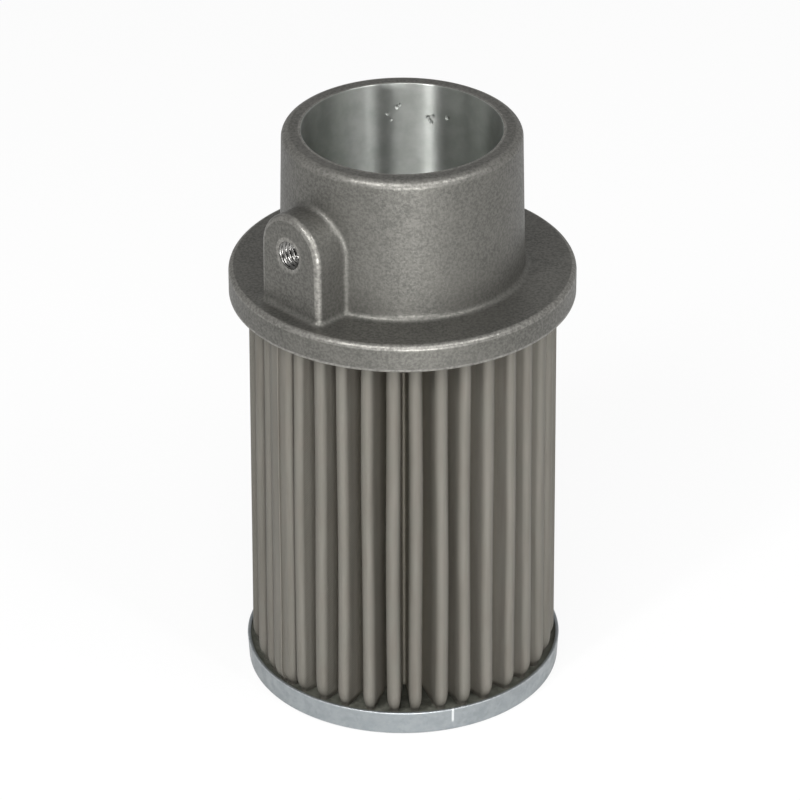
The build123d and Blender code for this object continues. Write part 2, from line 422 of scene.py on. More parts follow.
# %% Outline of the head
tilt = math.atan(DRAFT)
cos_tilt, sin_tilt = math.cos(tilt), math.sin(tilt)
foot_r = cone(FLANGE_TOP + BALL) + BALL / cos_tilt
foot_top = FLANGE_TOP + BALL - BALL * sin_tilt
rim_z = HEAD_TOP - RIM_ROUND
rim_r = cone(rim_z) - RIM_ROUND / cos_tilt
rim_low = rim_z + RIM_ROUND * sin_tilt
LUG_ROWS_TOP = 141.0
stretches = {
    "mouth": straight((BORE_R, HEAD_TOP - MOUTH), (BORE_R + MOUTH, HEAD_TOP), 0.3),
    "rim": straight((BORE_R + MOUTH, HEAD_TOP), (rim_r, HEAD_TOP), 0.6),
    "rim_bend": bend((rim_r, rim_z), RIM_ROUND, 90, math.degrees(tilt), 10),
    "collar_high": straight((cone(rim_low), rim_low), (cone(LUG_ROWS_TOP), LUG_ROWS_TOP), 1.2),
    "collar": straight((cone(LUG_ROWS_TOP), LUG_ROWS_TOP), (cone(foot_top), foot_top), 1.05),
    "foot": bend((foot_r, FLANGE_TOP + BALL), BALL, 180 + math.degrees(tilt), 270, 8),
    "flange": straight((foot_r, FLANGE_TOP), (FLANGE_R - EDGE_ROUND, FLANGE_TOP), 1.2),
    "edge": bend((FLANGE_R - EDGE_ROUND, FLANGE_TOP - EDGE_ROUND), EDGE_ROUND, 90, 0, 7),
    "side": straight((FLANGE_R, FLANGE_TOP - EDGE_ROUND), (FLANGE_R, FLANGE_LOW + LOW_ROUND), 0.6),
    "low_edge": bend((FLANGE_R - LOW_ROUND, FLANGE_LOW + LOW_ROUND), LOW_ROUND, 0, -90, 3),
    "lip": straight((FLANGE_R - LOW_ROUND, FLANGE_LOW), (GROOVE_R, FLANGE_LOW), 1.0),
    "groove": straight((GROOVE_R, FLANGE_LOW), (GROOVE_R, GROOVE_TOP), 2.0)
    + straight((GROOVE_R, GROOVE_TOP), (SPIGOT_R, GROOVE_TOP), 6.0)
    + straight((SPIGOT_R, GROOVE_TOP), (SPIGOT_R, FLANGE_LOW), 2.0),
    "spigot": straight((SPIGOT_R, FLANGE_LOW), (WATERWAY_R, FLANGE_LOW), 1.0),
    "waterway": straight((WATERWAY_R, FLANGE_LOW), (WATERWAY_R, BORE_FLOOR), 2.2),
    "shoulder": straight((WATERWAY_R, BORE_FLOOR), (BORE_R, BORE_FLOOR), 1.3),
    "bore_low": straight((BORE_R, BORE_FLOOR), (BORE_R, 134.0), 0.92),
    "bore_high": straight((BORE_R, 134.0), (BORE_R, 136.4), 0.8)
    + straight((BORE_R, 136.4), (BORE_R, 142.8), 0.2)
    + straight((BORE_R, 142.8), (BORE_R, HEAD_TOP - MOUTH), 0.8),
}
outline, first_row = [], {}
for name, points in stretches.items():
    first_row[name] = len(outline)
    outline.extend(points)
outline.append(outline[0])
outline = np.array(outline)
print("outline of the head:", len(outline), "rows")

# %% [markdown]
# The columns go round the axis a degree apart, counted from the middle of the lug. Opposite the camera
# the bore shows open pores under a millimetre wide, and there the columns are four times as close. The
# pores are pressed into the wall as small rough-edged hollows.

# %% Columns round the axis, and the pores
pore_from, pore_to = 199, 239
coarse = [a for a in range(-180, 181) if not pore_from - 360 < a < pore_to - 360]
fine = list(np.linspace(pore_from - 360, pore_to - 360, 151)[1:-1])
columns = np.radians(sorted(coarse + fine))
turns = columns + LUG_ANGLE
lathe = polar(turns[None, :], outline[:, 0, None], outline[:, 1, None])
pores = [(91.3, 142.1, 0.42, 0.30), (93.2, 141.5, 0.48, 0.34), (98.6, 139.8, 0.34, 0.16),
         (96.4, 138.1, 0.30, 0.14), (74.9, 139.1, 0.42, 0.26), (74.0, 138.4, 0.40, 0.24),
         (72.9, 137.8, 0.44, 0.28), (71.9, 139.6, 0.36, 0.22), (62.9, 139.8, 0.46, 0.34)]
bore_rows = slice(first_row["bore_high"], len(outline) - 2)
angle = np.degrees(turns)[None, :]
wobble = 1 + 0.22 * np.sin(angle * 9.0 + lathe[bore_rows, :, 2] * 7.0)
depth = np.zeros(lathe[bore_rows].shape[:2])
for at, height, radius, deep in pores:
    aside = (angle - at + 180) % 360 - 180
    away = np.hypot(np.radians(aside) * BORE_R, lathe[bore_rows, :, 2] - height) / (radius * wobble)
    depth = np.maximum(depth, deep * np.clip(1 - away ** 2, 0, 1) ** 0.7)
outwards = polar(turns, 1.0, 0.0)
lathe[bore_rows] += depth[..., None] * outwards[None]
print("head columns:", len(columns), "deepest pore", round(float(depth.max()), 2), "mm")

# %% [markdown]
# Seen from its face the lug is a tombstone: an arch on two sides that lean in very slightly. Its
# outline is sampled so that the points match the rows and columns of the window that they are joined
# to, and each point keeps the direction that its side faces.

# %% Outline of the lug
collar_rows = np.arange(first_row["collar"], first_row["foot"] + 1)
flange_rows = np.arange(first_row["flange"], first_row["edge"] + 1)
SIDES, OVER = len(collar_rows) - 1, 2 * WINDOW
spring = np.array([LUG_ARCH * math.cos(LUG_LEAN), LUG_ARCH * math.sin(LUG_LEAN)])
lean_out = np.array([math.cos(LUG_LEAN), math.sin(LUG_LEAN)])
lug_low = FLANGE_TOP + BALL - BALL * math.sin(LUG_LEAN) - LUG_CENTRE
side_length = (spring[1] - lug_low) / math.cos(LUG_LEAN)
arch_length = LUG_ARCH * (math.pi - 2 * LUG_LEAN)
whole = 2 * side_length + arch_length


def tombstone(share):
    """Point across and up, and outward direction, at a share of the way round the lug, from the right."""
    along = share * whole
    if along < side_length:
        up = spring + (side_length - along) * np.array([math.sin(LUG_LEAN), -math.cos(LUG_LEAN)])
        return up, lean_out
    if along > whole - side_length:
        point, way = tombstone(1 - share)
        return point * (-1, 1), way * (-1, 1)
    turn = LUG_LEAN + (along - side_length) / LUG_ARCH
    way = np.array([math.cos(turn), math.sin(turn)])
    return LUG_ARCH * way, way


CORNER = 0.36
shares = np.concatenate([np.linspace(0, CORNER, SIDES + 1), np.linspace(CORNER, 1 - CORNER, OVER + 1)[1:],
                         np.linspace(1 - CORNER, 1, SIDES + 1)[1:]])
lug_points, lug_ways = map(np.array, zip(*[tombstone(share) for share in shares]))
lug_out = np.array([math.cos(LUG_ANGLE), math.sin(LUG_ANGLE), 0.0])
lug_side = np.array([-math.sin(LUG_ANGLE), math.cos(LUG_ANGLE), 0.0])
UP = np.array([0.0, 0.0, 1.0])


def lug_frame(across, up, out):
    """Points given across the lug, up from its arch's centre and out from the axis."""
    across, up, out = np.broadcast_arrays(across, up, out)
    return across[..., None] * lug_side + (up + LUG_CENTRE)[..., None] * UP + out[..., None] * lug_out


print("lug outline:", len(shares), "points,", round(whole, 1), "mm round")

# %% [markdown]
# Now the ball rolls. Its centre stays one radius off both surfaces, and the fillet is the arc that it
# touches on, from the lug's side to the collar. At the front and the sides it rolls along the flange
# instead. In the two corners it touches all three, and leaves a small spherical patch.


# %% The rolling ball
def sweep(first, last, steps):
    """Unit directions turning from one set of directions to another, in this many steps."""
    first, last = np.broadcast_arrays(first, last)
    whole_turn = np.arccos(np.clip(np.sum(first * last, axis=-1), -1, 1))[..., None]
    share = np.linspace(0, 1, steps + 1).reshape(-1, *([1] * first.ndim))
    return (np.sin((1 - share) * whole_turn) * first + np.sin(share * whole_turn) * last) / np.sin(whole_turn)


STEPS = 8
centre_uv = lug_points + BALL * lug_ways
reach = cone(centre_uv[:, 1] + LUG_CENTRE) + BALL / cos_tilt
centre_w = np.sqrt(reach ** 2 - centre_uv[:, 0] ** 2)
centres = lug_frame(centre_uv[:, 0], centre_uv[:, 1], centre_w)
to_lug = -(lug_ways[:, 0, None] * lug_side + lug_ways[:, 1, None] * UP)
level = centres * (1, 1, 0)
to_collar = -(level / np.linalg.norm(level, axis=1)[:, None] * cos_tilt + UP * sin_tilt)
collar_fillet = centres[None] + BALL * sweep(to_lug, to_collar, STEPS)
print("ball centre in the corner", np.round(centres[0], 2))

# %% [markdown]
# The lug itself: its sides run from the collar fillet out to a rounded edge, and its face is one flat
# ring from that edge to the hole.

# %% Sides and face of the lug
WALL, TURN, FACE = 8, 8, 38
wall_from = centre_w[:, None]
share = np.linspace(0, 1, WALL + 1)[None, :]
wall_out = wall_from + (LUG_FACE - LUG_EDGE - wall_from) * share
wall = lug_frame(lug_points[:, 0, None], lug_points[:, 1, None], wall_out)
turning = np.linspace(0, math.pi / 2, TURN + 1)[None, :, None]
axis_uv = (lug_points - LUG_EDGE * lug_ways)[:, None, :]
edge_uv = axis_uv + LUG_EDGE * np.cos(turning) * lug_ways[:, None, :]
edge = lug_frame(edge_uv[..., 0], edge_uv[..., 1], LUG_FACE - LUG_EDGE + LUG_EDGE * np.sin(turning[..., 0]))
bottom = np.linspace(edge[-1, -1], edge[0, -1], FACE + 1)
face_loop = np.concatenate([edge[:, -1], bottom[1:]])
local = face_loop @ np.stack([lug_side, UP], axis=1) - (0, LUG_CENTRE)
HOLE_R, THREAD_R, THREAD_PITCH = 3.4, 4.0, 1.25
hole_edge = local / np.linalg.norm(local, axis=1)[:, None] * (HOLE_R + 0.15)
rings = np.linspace(0, 1, 7)[:, None, None] ** 1.3
face_uv = hole_edge[None] * (1 - rings) + local[None] * rings
face = lug_frame(face_uv[..., 0], face_uv[..., 1], LUG_FACE)
print("lug face", np.round(local.min(0), 2), np.round(local.max(0), 2))

# %% [markdown]
# The foot of the lug on the flange follows the lug's own lowest row: right side, rounded edge, face,
# and back along the left. The points down there come from the grids above, so the seams close.

# %% Foot of the lug
low_row = np.concatenate([wall[0], edge[0, 1:], bottom[::-1][1:], edge[-1, ::-1][1:], wall[-1, ::-1][1:]])
side_way = lug_ways[0, 0] * lug_side + lug_ways[0, 1] * UP
other_way = lug_ways[-1, 0] * lug_side + lug_ways[-1, 1] * UP
ways = np.concatenate([
    np.repeat(side_way[None], WALL, 0), sweep(side_way, lug_out, TURN), np.repeat(lug_out[None], FACE - 1, 0),
    sweep(other_way, lug_out, TURN)[::-1], np.repeat(other_way[None], WALL, 0)])
ball_way = low_row + BALL * ways
ball_way[:, 2] = FLANGE_TOP + BALL
arcs = sweep(-ways, np.broadcast_to(-UP, ways.shape), STEPS)
settle = np.linspace(1, 0, STEPS + 1)[:, None, None]
foot_fillet = ball_way[None] + BALL * arcs
foot_fillet = foot_fillet + settle * (low_row - foot_fillet[0])[None]
print("foot of the lug:", len(low_row), "points")

# %% [markdown]
# What is left are the two windows in the lathed grid. Each is filled by rows that pass gradually from
# the fillet's edge to the window's edge, measured round the axis, so that they lie on the cone and on
# the flange exactly.


# %% Filling the windows
def column(degrees):
    """The number of the column at a whole number of degrees from the middle of the lug."""
    return int(np.argmin(np.abs(columns - math.radians(degrees))))


def turns_of(points):
    """Angles of points about the axis, from the middle of the lug."""
    return (np.arctan2(points[..., 1], points[..., 0]) - LUG_ANGLE + math.pi) % (2 * math.pi) - math.pi


LAYERS = 6
right, left = column(WINDOW), column(-WINDOW)
between = np.linspace(0, 1, LAYERS + 1)[:, None]
inner = collar_fillet[-1]
over = np.linspace(WINDOW, -WINDOW, OVER + 1)
rows_up = outline[collar_rows[::-1], 1]
outer_turn = np.radians(np.concatenate([np.full(SIDES, WINDOW), over, np.full(SIDES, -WINDOW)]))
outer_high = np.concatenate([rows_up[:-1], np.full(OVER + 1, LUG_ROWS_TOP), rows_up[::-1][1:]])
turn = turns_of(inner) * (1 - between) + outer_turn * between
high = inner[:, 2] * (1 - between) + outer_high * between
collar_patch = polar(turn + LUG_ANGLE, cone(high), high)

inner = foot_fillet[-1]
rows_out = outline[flange_rows, 0]
TREADS = len(flange_rows) - 1
spread = (len(low_row) - 1 - 2 * TREADS)
over = np.linspace(WINDOW, -WINDOW, spread + 1)
outer_turn = np.radians(np.concatenate([np.full(TREADS, WINDOW), over, np.full(TREADS, -WINDOW)]))
outer_wide = np.concatenate([rows_out[:-1], np.full(spread + 1, rows_out[-1]), rows_out[::-1][1:]])
turn = turns_of(inner) * (1 - between) + outer_turn * between
wide = np.hypot(inner[:, 0], inner[:, 1]) * (1 - between) + outer_wide * between
flange_patch = polar(turn + LUG_ANGLE, wide, FLANGE_TOP)

corner_turns = turns_of(collar_patch[:, [0, -1]])
foot_rows = outline[first_row["foot"]:first_row["flange"] + 1]
corner_strips = [polar(corner_turns[:, k, None] + LUG_ANGLE, foot_rows[:, 0], foot_rows[:, 1]) for k in (0, 1)]
print("windows:", collar_patch.shape, flange_patch.shape, "flange columns", spread, "of", OVER)

# %% [markdown]
# The spherical patches in the corners, the hole's opening in the bore, and the thread. The thread is
# one grid wound round the hole, whose radius follows a 60 degree groove that climbs one pitch a turn.

# %% Corners, hole and thread
corners = []
for end in (0, -1):
    centre = centres[end]
    side, wall_way = to_lug[end], to_collar[end]
    for i in range(STEPS):
        rows = []
        for k in (i, i + 1):
            first = sweep(side, wall_way, STEPS)[k]
            last = sweep(side, -UP, STEPS)[k]
            arc = sweep(first, last, k) if k else first[None]
            rows.append(centre + BALL * arc)
        corners.append(rows)

HOLE_WINDOW = 14
hole_rows = np.arange(first_row["bore_low"], first_row["bore_high"])
hole_rows = hole_rows[(outline[hole_rows, 1] > 120.0) & (outline[hole_rows, 1] < 133.4)]
low_hole, high_hole = outline[hole_rows[0], 1], outline[hole_rows[-1], 1]
side_steps = outline[hole_rows, 1]
spans = np.arange(-HOLE_WINDOW, HOLE_WINDOW + 1)
frame_turn = np.concatenate([np.full(len(side_steps), HOLE_WINDOW), spans[::-1][1:],
                             np.full(len(side_steps) - 1, -HOLE_WINDOW), spans[1:]])
frame_high = np.concatenate([side_steps, np.full(len(spans) - 1, high_hole), side_steps[::-1][1:],
                             np.full(len(spans) - 1, low_hole)])
round_hole = np.arctan2(frame_high - LUG_CENTRE, BORE_R * np.radians(frame_turn))
hole_turn = np.arcsin((HOLE_R + 0.105) * np.cos(round_hole) / BORE_R)
hole_high = LUG_CENTRE + (HOLE_R + 0.105) * np.sin(round_hole)
between = np.linspace(0, 1, 6)[:, None]
bore_patch = polar(LUG_ANGLE + hole_turn * (1 - between) + np.radians(frame_turn) * between, BORE_R,
                   hole_high * (1 - between) + frame_high * between)

about = np.unwrap(np.arctan2(local[:, 1], local[:, 0]))
inner_end = np.sqrt(BORE_R ** 2 - ((HOLE_R + 0.1) * np.cos(about)) ** 2)
along = np.linspace(0, 1, 103)[:, None]
out = LUG_FACE + (inner_end - LUG_FACE) * along
phase = ((LUG_FACE - out) / THREAD_PITCH + about / (2 * math.pi)) % 1.0
groove = np.clip(1.25 - np.abs(phase - 0.5) * 2.9, 0, 1)
run_in = np.clip((LUG_FACE - out) / 0.45, 0, 1)
run_out = np.clip((out - inner_end) / 0.45, 0, 1)
radius = HOLE_R + (THREAD_R - HOLE_R) * groove * run_in * run_out
radius += 0.15 * (1 - run_in) ** 2 + 0.1 * (1 - run_out) ** 2
thread = lug_frame(radius * np.cos(about), radius * np.sin(about), out)
print("thread:", thread.shape, "radius", round(float(radius.min()), 2), "to", round(float(radius.max()), 2))


# %% [markdown]
# All of it goes into one skin. The lathed grid leaves out the faces behind the two windows, and its
# turned stretches get the second finish and the thread the third.

# %% Build the head
turned_names = ("mouth", "waterway", "shoulder", "bore_low", "bore_high")
row_name = [name for name, points in stretches.items() for _ in points]
row_turned = [name in turned_names for name in row_name]
collar_from, flange_to = first_row["collar"], first_row["edge"]
hole_left, hole_right = column(-HOLE_WINDOW), column(HOLE_WINDOW)
head = Skin()
for finish in (0, 1):
    def shown(i, j):
        if row_turned[i] != bool(finish):
            return False
        if left <= j < right and collar_from <= i < flange_to:
            return False
        return not (hole_left <= j < hole_right and hole_rows[0] <= i < hole_rows[-1])
    head.grid(lathe, finish, shown)
for rows in (collar_fillet, wall, edge, face, foot_fillet, collar_patch, flange_patch, *corner_strips):
    head.grid(rows)
for upper, lower in corners:
    start = len(head.points)
    head.points.extend([*upper, *lower])
    for k in range(len(upper)):
        head.faces.append((start + k, start + len(upper) + k, start + len(upper) + k + 1))
        head.finish.append(0)
        if k + 1 < len(upper):
            head.faces.append((start + k, start + len(upper) + k + 1, start + k + 1))
            head.finish.append(0)
head.grid(bore_patch, 1)
head.grid(thread, 2)
cast_head = head.build("cast_head", [cast_skin, turned_face, cut_thread], sharp=40)
mesh = cast_head.data
spots = np.empty(len(mesh.vertices) * 3)
mesh.vertices.foreach_get("co", spots)
spots = spots.reshape(-1, 3) / MM
# Painted shade inside the pores: how deep each point lies in one, from 0 to 1, for the bore's colour.
sunk = np.hypot(spots[:, 0], spots[:, 1]) - BORE_R
in_bore = (spots[:, 2] > 134.0) & (spots[:, 2] < HEAD_TOP - 0.6) & (sunk > 0.02) & (sunk < 1.0)
mesh.attributes.new("pore_shade", "FLOAT", "POINT").data.foreach_set(
    "value", np.where(in_bore, np.clip(sunk / 0.3, 0, 1), 0.0).astype(np.float32))
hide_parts("head_casting")
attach(cast_head, BODY)

# %% [markdown]
# ## The pleated screen
# Stainless wire cloth is dull and warm in tone. A weave this fine shows as dots at most, so it is made
# in the material: two sine waves cross, one along the wires' length round the folds and one along the
# axis. They read the cloth's own lengths from a vertex attribute, so the weave follows every fold. The
# attribute also says how deep in the folds a point is, and there the colour is painted lighter, as
# painted light that lifts the shade of the valleys.

# %% Group: weave
wire_weave, given, gives = start_group(
    "wire weave", {"Round": 0.0, "Up": 0.0, "Pitch": 0.45}, ("Height", "Gaps"))
tree = wire_weave
turn = maths(tree, "DIVIDE", 2 * math.pi * MM, given.outputs["Pitch"])
turn = maths(tree, "DIVIDE", turn, MM * MM)
warp = maths(tree, "SINE", maths(tree, "MULTIPLY", given.outputs["Round"], turn))
weft = maths(tree, "SINE", maths(tree, "MULTIPLY", given.outputs["Up"], turn))
over_under = maths(tree, "MULTIPLY_ADD", maths(tree, "MULTIPLY", warp, weft), 0.5)
over_under.node.inputs[2].default_value = 0.5
holes = maths(tree, "MULTIPLY", maths(tree, "ABSOLUTE", warp), maths(tree, "ABSOLUTE", weft))
tree.links.new(over_under, gives.inputs["Height"])
tree.links.new(ramp(tree, holes, 0.45, 0.95), gives.inputs["Gaps"])
print("wire weave:", len(tree.nodes), "nodes")

# %% Material: wire cloth
wire_cloth, tree, shader = start_material("wire_cloth")
here = add(tree, "ShaderNodeTexCoord").outputs["Object"]
laid = add(tree, "ShaderNodeAttribute", {"attribute_name": "laid"}).outputs["Vector"]
parts = add(tree, "ShaderNodeSeparateXYZ", Vector=laid)
cloth = place_group(tree, wire_weave, Round=parts.outputs["X"], Up=parts.outputs["Y"], Pitch=0.5)
streaks = add(tree, "ShaderNodeMapping", Vector=here, Scale=(1.0, 1.0, 0.06)).outputs[0]
streaks = ramp(tree, noise(tree, streaks, 1.6, 3.0, 0.6), 0.3, 0.7)
stains = ramp(tree, noise(tree, here, 9.0, 3.0, 0.6), 0.3, 0.7)
colour = blend(tree, streaks, (0.118, 0.108, 0.091, 1), (0.150, 0.140, 0.121, 1))
colour = blend(tree, maths(tree, "MULTIPLY", stains, 0.45), colour, (0.130, 0.130, 0.111, 1))
# Painted light: deep in the folds the colour turns lighter, to lift the shade in the valleys.
fold_painted_light = maths(tree, "MULTIPLY", ramp(tree, parts.outputs["Z"], 0.05, 0.7), 0.75)
colour = blend(tree, fold_painted_light, colour, (0.36, 0.335, 0.28, 1))
colour = blend(tree, maths(tree, "MULTIPLY", cloth.outputs["Gaps"], 0.6), colour, (0.065, 0.06, 0.05, 1))
tree.links.new(colour, shader.inputs["Base Color"])
shader.inputs["Metallic"].default_value = 0.35
tree.links.new(ramp(tree, cloth.outputs["Height"], 0.0, 1.0, 0.68, 0.52), shader.inputs["Roughness"])
bumped(tree, shader, cloth.outputs["Height"], 0.07, 0.9)
print("wire cloth:", len(tree.nodes), "nodes")

# %% [markdown]
# One long strip of this cloth is folded into thirty-six pleats and closed by a lap over the widest one.
# On the real element no two pleats stand quite alike. The crowns that face the camera are listed to
# match the real one, and the rest wander a little at random, with a fixed seed.

# %% Where the pleats stand
rng = np.random.default_rng(7)
PLEATS, FIRST, SEAM = 36, -94.1, -5
PLEAT_IN, PLEAT_OUT, CLOTH, FOLD = 23.6, 38.0, 0.6, 1.0
BED, NECK = 4.8, 104.5
seen = {-4: -133.1, -3: -123.1, -2: -113.3, -1: -103.4, 0: -93.8, 1: -85.2, 2: -75.2, 3: -66.0, 4: -56.1,
        5: -44.7, 29: 198.6, 30: 208.0}
numbers = np.arange(SEAM, SEAM + PLEATS)
stands = np.array([seen.get(n, FIRST + 10 * n + rng.uniform(-0.7, 0.7)) for n in numbers])
stands[0] = FIRST + 10 * SEAM + 1.4
widths = 1.6 + rng.uniform(-0.10, 0.12, PLEATS)
tips = PLEAT_OUT - 0.15 + rng.uniform(-0.22, 0.12, PLEATS)
wells = (stands + np.append(stands[1:], stands[0] + 360)) / 2
print("pleats:", PLEATS, "spaced", round(float(np.diff(stands).min()), 1), "to",
      round(float(np.diff(stands).max()), 1), "degrees")

# %% [markdown]
# A section through the pleats is a chain of circles: a crown, an inner fold, the next crown. A straight
# flank touches each circle and the next, which settles where every arc starts and ends. Towards the cap
# each crown is pinched by the resin it stands in, so it draws in and narrows to a rounded tip. The
# section is worked out again for every row, always with as many points, and the rows make the sheet.


# %% One section of the screen
def circles_at(height):
    """Centre, radius, direction and side (1 for crowns, -1 for inner folds) of each fold at a height."""
    fall = np.clip((BED + 5.6 - height) / 4.4, 0, 1)
    pinch = math.sqrt(1 - (fall * 0.93) ** 2)
    flare = 0.35 - 0.55 * np.clip((height - BED) / (NECK - BED), 0, 1)
    chain = []
    for k in range(PLEATS):
        at = math.radians(stands[k] + 0.22 * math.sin(height / 17.0 + k * 1.7))
        radius = widths[k] * (0.40 + 0.60 * pinch)
        tip = tips[k] + flare - 2.0 * (1 - pinch)
        wide = (2.5 if k == 0 else 0.0) * (0.6 + 0.4 * pinch)
        way, across = np.array([math.cos(at), math.sin(at)]), np.array([-math.sin(at), math.cos(at)])
        for side in (-1, 1):
            chain.append((way * (tip - radius) + across * side * wide, radius, at, 1))
        dip = math.radians(wells[k])
        chain.append((np.array([math.cos(dip), math.sin(dip)]) * (PLEAT_IN + FOLD), FOLD - CLOTH, dip, -1))
    return chain


def section(height, under):
    """One face of the cloth, this far under its outer face: the arcs of its folds, joined by flanks."""
    chain, points = circles_at(height), []
    for n, (centre, radius, at, side) in enumerate(chain):
        radius -= side * under
        ends = []
        for order in (-1, 1):
            other, wide, _, turned_to = chain[(n + order) % len(chain)]
            gap = other - centre
            if side == turned_to:
                ends.append(at)
            else:
                lean = math.acos((radius + wide - turned_to * under) / np.hypot(*gap))
                ends.append(math.atan2(gap[1], gap[0]) - order * side * lean)
        back = 0 if side > 0 else math.pi
        first, last = [(end - at - back + math.pi) % (2 * math.pi) - math.pi for end in ends]
        turn = at + back + np.linspace(first, last, 8)
        arc = centre + radius * np.stack([np.cos(turn), np.sin(turn)], axis=1)
        points.append(arc)
    row = []
    for n, arc in enumerate(points):
        row.extend(arc)
        after = points[(n + 1) % len(points)][0]
        if chain[n][3] != chain[(n + 1) % len(chain)][3]:
            row.extend(arc[-1] + (after - arc[-1]) * share for share in (0.25, 0.5, 0.75))
    return np.array(row)


test = np.hypot(*section(50.0, 0.0).T)
print("points round the screen:", len(test), "from radius", round(test.min(), 2), "to", round(test.max(), 2))

# %% [markdown]
# The sheet has two faces a cloth's thickness apart, and is closed at its ends, which stand in the
# resin. The lap is a second layer over half of the widest crown, with its cut edge left showing.

# %% Build the screen
levels = np.concatenate([np.linspace(BED - 0.9, BED + 5.6, 15), np.linspace(BED + 8, NECK + 1.5, 24)])
faces_of_cloth = [np.array([section(height, under) for height in levels]) for under in (0.0, CLOTH)]
around = faces_of_cloth[0].shape[1]
middle = faces_of_cloth[0][len(levels) // 2]
laid_round = np.concatenate([[0], np.cumsum(np.hypot(*np.diff(middle, axis=0).T))])
spots, laid, quads = [], [], []
for side, rows in enumerate(faces_of_cloth):
    start = len(spots)
    for level, row in zip(levels, rows):
        spots.extend((x, y, level) for x, y in row)
        depths = (PLEAT_OUT - np.hypot(*row.T)) / (PLEAT_OUT - PLEAT_IN)
        laid.extend((length * MM, level * MM, deep) for length, deep in zip(laid_round, depths))
    for i in range(len(levels) - 1):
        for j in range(around):
            a, b = start + i * around + j, start + i * around + (j + 1) % around
            quads.append((a, b, b + around, a + around) if side == 0 else (b, a, a + around, b + around))
half = len(spots) // 2
for row, flip in ((0, 1), (len(levels) - 1, 0)):
    for j in range(around):
        a, b = row * around + j, row * around + (j + 1) % around
        quads.append((b, a, a + half, b + half) if flip else (a, b, b + half, a + half))

lap_u = np.concatenate([np.linspace(-2.7, 0.5, 9), [0.62, 0.62], np.linspace(0.5, -2.7, 9)])
lap_up = np.concatenate([np.linspace(0.02, 0.42, 3), np.full(6, 0.42), [0.3, -0.2], np.full(9, -0.25)])
start = len(spots)
for level in levels:
    (left_at, radius, at, _), (right_at, _, _, _) = circles_at(level)[:2]
    crown = (left_at + right_at) / 2
    way, across = np.array([math.cos(at), math.sin(at)]), np.array([-math.sin(at), math.cos(at)])
    squeeze = np.hypot(*(right_at - left_at)) / 5.0
    for u, up in zip(lap_u, lap_up):
        x, y = crown + way * (radius + up) + across * u * squeeze
        spots.append((x, y, level))
        laid.append(((u + 1000) * MM, level * MM, 0.0))
for i in range(len(levels) - 1):
    for j in range(len(lap_u)):
        a, b = start + i * len(lap_u) + j, start + i * len(lap_u) + (j + 1) % len(lap_u)
        quads.append((b, a, a + len(lap_u), b + len(lap_u)))
mesh = bpy.data.meshes.new("pleated_cloth")
mesh.from_pydata([(x * MM, y * MM, z * MM) for x, y, z in spots], [], quads)
mesh.attributes.new("laid", "FLOAT_VECTOR", "POINT").data.foreach_set("vector", np.ravel(laid))
mesh.shade_smooth()
mesh.set_sharp_from_angle(angle=math.radians(40))
mesh.materials.append(wire_cloth)
pleated_cloth = bpy.data.objects.new("pleated_cloth", mesh)
bpy.context.scene.collection.objects.link(pleated_cloth)
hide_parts("pleated_screen")
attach(pleated_cloth, BODY)
print("pleated cloth:", len(spots), "points", len(quads), "faces")

# %% [markdown]
# ## The cap
# It is pressed from galvanised sheet, so every bend is round and even. Zinc is pale, bluish and satin,
# with crystals so fine that they only show as a faint mottle. The rim was rubbed once on its way.

# %% Material: galvanised sheet
galvanised, tree, shader = start_material("galvanised")
here = add(tree, "ShaderNodeTexCoord").outputs["Object"]
crystals = add(tree, "ShaderNodeTexVoronoi", Vector=here, Scale=1100.0).outputs["Color"]
crystals = add(tree, "ShaderNodeSeparateColor", Color=crystals).outputs[0]
film = ramp(tree, noise(tree, here, 3.0, 4.0, 0.6), 0.3, 0.7)
wear = place_group(tree, edge_wear, From=0.4, To=1.6)
colour = blend(tree, film, (0.215, 0.235, 0.245, 1), (0.265, 0.285, 0.295, 1))
colour = blend(tree, maths(tree, "MULTIPLY", crystals, 0.3), colour, (0.32, 0.345, 0.355, 1))
colour = blend(tree, maths(tree, "MULTIPLY", wear.outputs["Worn"], 0.5), colour, (0.62, 0.64, 0.66, 1))
apart = add(tree, "ShaderNodeSeparateXYZ", Vector=here)
beside = maths(tree, "ABSOLUTE", maths(tree, "SUBTRACT", apart.outputs["X"], 0.0122))
scuff = maths(tree, "MULTIPLY", ramp(tree, beside, 0.00012, 0.0004, 1.0, 0.0),
              ramp(tree, apart.outputs["Z"], 0.0022, 0.0032))
scuff = maths(tree, "MULTIPLY", scuff, ramp(tree, apart.outputs["Y"], -0.0372, -0.0368, 1.0, 0.0))
colour = blend(tree, maths(tree, "MULTIPLY", scuff, 0.7), colour, (0.8, 0.82, 0.82, 1))
tree.links.new(colour, shader.inputs["Base Color"])
shader.inputs["Metallic"].default_value = 0.7
tree.links.new(ramp(tree, film, 0.0, 1.0, 0.44, 0.34), shader.inputs["Roughness"])
bumped(tree, shader, noise(tree, here, 0.5, 3.0, 0.6), 0.012, 0.6)
print("galvanised sheet:", len(tree.nodes), "nodes")

# %% [markdown]
# The section of the cap is walked like that of the head: under the raised pad, over the floor, up the
# rim, which leans out a little, round its cut edge and back down inside.

